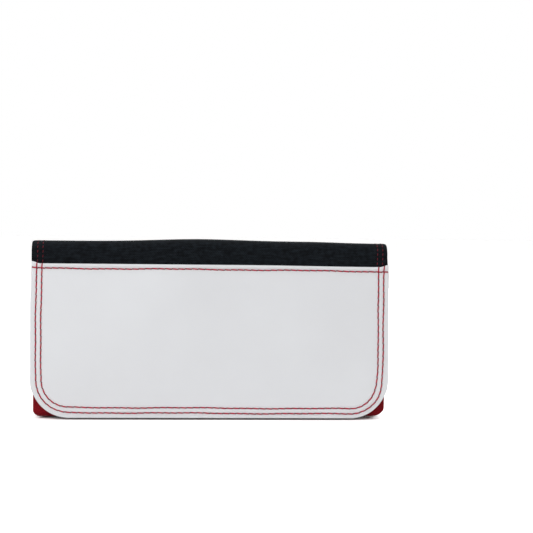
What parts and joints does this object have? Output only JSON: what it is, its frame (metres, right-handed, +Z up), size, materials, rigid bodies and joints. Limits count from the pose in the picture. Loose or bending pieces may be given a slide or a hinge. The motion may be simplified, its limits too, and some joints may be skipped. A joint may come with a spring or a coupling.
{
  "type": "flap wallet",
  "caption": "Long flap wallet standing closed: white woven flap on a black rolled spine over a red leather body with gusseted compartments, a zipped coin pocket and card strips.",
  "frame": {"origin": "middle of the underside, on the surface that the wallet stands on", "axes": "+X along the width, -Y the front with the flap, +Y the back, +Z up"},
  "size_m": [0.19, 0.0264, 0.095],
  "materials": {
    "white_weave": "matt fine plain weave",
    "black_canvas": "matt coarse weave",
    "red_leather": "fine grain, low sheen",
    "red_lining": "thin lining leather, dull",
    "stiffening_board": "bare board",
    "bright_metal": "plated, polished",
    "magnet": "bare pressed magnet",
    "zip_tape": "woven tape"
  },
  "bodies": {
    "body": {"bottom_panel": "red_leather", "centre_panel": "red_leather", "centre_board": "stiffening_board", "band_back": "black_canvas", "coin_pocket_back": "red_lining", "coin_pocket_frame": "red_lining", "coin_pocket_front": "red_leather", "coin_pocket_header": "red_leather", "zip_tape_upper": "zip_tape", "zip_tape_lower": "zip_tape", "zip_teeth_upper": "bright_metal", "zip_teeth_lower": "bright_metal", "zip_stop_left": "bright_metal", "zip_stop_right": "bright_metal", "front_gusset_left": "red_leather", "front_gusset_right": "red_leather", "rear_gusset_left": "red_leather", "rear_gusset_right": "red_leather"},
    "spine": {"band_top": "black_canvas", "spine_lining": "red_lining"},
    "flap": {"flap_panel": "white_weave", "flap_board": "stiffening_board", "flap_lining": "red_lining", "band_front": "black_canvas", "snap_stud": "bright_metal", "snap_stud_washer": "bright_metal"},
    "front_wall": {"front_panel": "red_leather", "front_board": "stiffening_board", "front_lining": "red_lining", "snap_socket": "bright_metal", "snap_magnet": "magnet", "snap_socket_washer": "bright_metal"},
    "rear_wall": {"rear_panel": "red_leather", "rear_board": "stiffening_board", "rear_lining": "red_lining", "card_strip_1": "red_leather", "card_strip_2": "red_leather", "card_strip_3": "red_leather"},
    "slider": {"zip_slider": "bright_metal"},
    "pull_tab": {"zip_pull_tab": "red_leather"}
  },
  "joints": [
    {"name": "spine_fold", "type": "hinge", "parent": "body", "child": "spine", "pos_m": [0, 0.00149, 0.09354], "axis": [-1, 0, 0], "range_deg": [0, 90]},
    {"name": "flap_fold", "type": "hinge", "parent": "spine", "child": "flap", "pos_m": [0, -0.01089, 0.09354], "axis": [-1, 0, 0], "range_deg": [0, 90]},
    {"name": "front_open", "type": "hinge", "parent": "body", "child": "front_wall", "pos_m": [0, -0.00805, 0.00415], "axis": [1, 0, 0], "range_deg": [0, 10], "deforming": ["front_gusset_left", "front_gusset_right"]},
    {"name": "rear_open", "type": "hinge", "parent": "body", "child": "rear_wall", "pos_m": [0, 0.01315, 0.00415], "axis": [-1, 0, 0], "range_deg": [0, 10], "deforming": ["rear_gusset_left", "rear_gusset_right"]},
    {"name": "zip_slide", "type": "slide", "parent": "body", "child": "slider", "axis": [1, 0, 0], "range_m": [-0.1304, 0]},
    {"name": "tab_swing", "type": "hinge", "parent": "slider", "child": "pull_tab", "pos_m": [0.0622, -0.0028, 0.0762], "axis": [0, 1, 0], "range_deg": [-55, 55]}
  ],
  "couplings": [
    {"joint": "front_open", "follows": "spine_fold", "ratio": 0.111}
  ]
}
